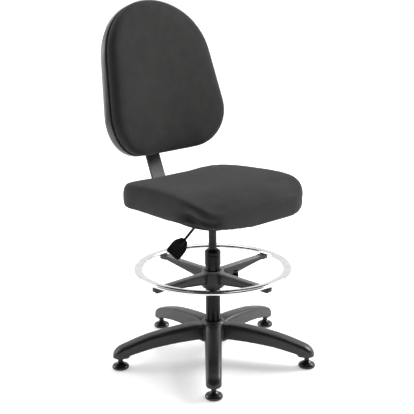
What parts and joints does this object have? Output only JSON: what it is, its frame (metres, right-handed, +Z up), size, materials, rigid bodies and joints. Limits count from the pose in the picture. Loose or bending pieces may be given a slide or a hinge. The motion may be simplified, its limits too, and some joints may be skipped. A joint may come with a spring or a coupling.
{
  "type": "drafting chair",
  "caption": "Tall swivel drafting chair with a gas-lift column, star base on glides, chromed foot ring, padded seat and a wide egg-shaped padded back on a flat steel upright.",
  "frame": {"origin": "on the floor, under the middle of the chair's outline as it is stored, 14 mm to +X and 25 mm to +Y of the column's axis", "axes": "+Z up, -Y the way the sitter faces, +X to the sitter's left"},
  "size_m": [0.6756, 0.6883, 1.2015],
  "materials": {
    "base_nylon": "satin, fine moulded grain",
    "glide_nylon": "smooth, slightly glossy",
    "black_paint": "black powder coat",
    "cylinder_black": "black lacquered gas cylinder",
    "collar_plastic": "satin",
    "bush_plastic": "satin",
    "spider_nylon": "satin, polished edges",
    "ring_chrome": "polished",
    "zinc_steel": "zinc plated",
    "rod_steel": "ground",
    "rubber_black": "matt",
    "knob_plastic": "satin",
    "grip_plastic": "satin, ribbed",
    "shell_plastic": "fine grained moulding",
    "plywood": "raw plywood",
    "plywood_black": "black stained plywood",
    "upholstery": "charcoal woven upholstery cloth over foam"
  },
  "bodies": {
    "base": {"base_star": "base_nylon", "base_hub_ring": "zinc_steel", "glide_stems": "zinc_steel", "glide_feet": "glide_nylon", "outer_tube": "black_paint", "top_collar": "collar_plastic", "bearing_washer_lower": "zinc_steel", "bearing_balls": "zinc_steel"},
    "piston": {"bearing_washer_upper": "zinc_steel", "piston_rod": "rod_steel", "bump_stop": "rubber_black", "rod_clip": "zinc_steel"},
    "seat": {"gas_cylinder": "cylinder_black", "rod_gland": "collar_plastic", "seat_bracket": "black_paint", "taper_socket": "black_paint", "bar_housing": "black_paint", "bracket_bolts": "zinc_steel", "tee_nuts": "zinc_steel", "seat_board": "plywood_black", "seat_cushion": "upholstery", "lever_pin": "zinc_steel"},
    "button": {"release_button": "rod_steel"},
    "ring_slider": {"hub_bush": "bush_plastic"},
    "ring": {"ring_spider": "spider_nylon", "foot_ring": "ring_chrome", "ring_screws": "zinc_steel"},
    "ring_screw": {"ring_knob": "knob_plastic", "ring_knob_stud": "zinc_steel"},
    "lever": {"lever_block": "collar_plastic", "lever_rod": "black_paint", "lever_grip": "grip_plastic"},
    "depth_screw": {"depth_knob": "knob_plastic", "depth_knob_stud": "zinc_steel"},
    "bar": {"back_bar": "black_paint", "bar_end_cap": "collar_plastic"},
    "carriage": {"back_carriage": "collar_plastic", "pivot_pin": "zinc_steel"},
    "height_screw": {"height_knob": "knob_plastic", "height_knob_stud": "zinc_steel"},
    "back": {"pivot_plate": "black_paint", "back_screws": "zinc_steel", "back_shell": "shell_plastic", "back_board": "plywood", "back_cushion": "upholstery"}
  },
  "joints": [
    {"name": "seat_swivel", "type": "hinge", "parent": "base", "child": "piston", "pos_m": [-0.014, -0.025, 0.5], "axis": [0, 0, 1], "continuous": true},
    {"name": "seat_height", "type": "slide", "parent": "piston", "child": "seat", "axis": [0, 0, 1], "range_m": [-0.05, 0.194]},
    {"name": "release_lever", "type": "hinge", "parent": "seat", "child": "lever", "pos_m": [-0.042, -0.045, 0.52], "axis": [0, 1, 0], "range_deg": [0, 6], "stiffness_Nm_per_rad": 4, "springref_deg": -4.58},
    {"name": "button_press", "type": "slide", "parent": "seat", "child": "button", "axis": [0, 0, -1], "range_m": [0, 0.003]},
    {"name": "back_depth", "type": "slide", "parent": "seat", "child": "bar", "axis": [0, 1, 0], "range_m": [-0.008, 0.042]},
    {"name": "depth_knob_turn", "type": "hinge", "parent": "seat", "child": "depth_screw", "pos_m": [-0.014, 0.061, 0.49], "axis": [0, 0, 1], "continuous": true},
    {"name": "back_height", "type": "slide", "parent": "bar", "child": "carriage", "axis": [0, 0.2045, 0.9789], "range_m": [-0.045, 0.04]},
    {"name": "height_knob_turn", "type": "hinge", "parent": "carriage", "child": "height_screw", "pos_m": [-0.014, 0.32428, 0.76721], "axis": [0, 0.9789, -0.2045], "continuous": true},
    {"name": "back_tilt", "type": "hinge", "parent": "carriage", "child": "back", "pos_m": [-0.014, 0.2724, 0.77805], "axis": [-1, 0, 0], "range_deg": [-8, 12]},
    {"name": "ring_height", "type": "slide", "parent": "base", "child": "ring_slider", "axis": [0, 0, 1], "range_m": [-0.1, 0.02]},
    {"name": "ring_turn", "type": "hinge", "parent": "ring_slider", "child": "ring", "pos_m": [-0.014, -0.025, 0.286], "axis": [0, 0, 1], "continuous": true},
    {"name": "ring_knob_turn", "type": "hinge", "parent": "ring", "child": "ring_screw", "pos_m": [0.03635, -0.07363, 0.286], "axis": [0.7193, -0.6947, 0], "continuous": true}
  ],
  "couplings": [
    {"joint": "button_press", "follows": "release_lever", "m_per_rad": 0.028}
  ]
}
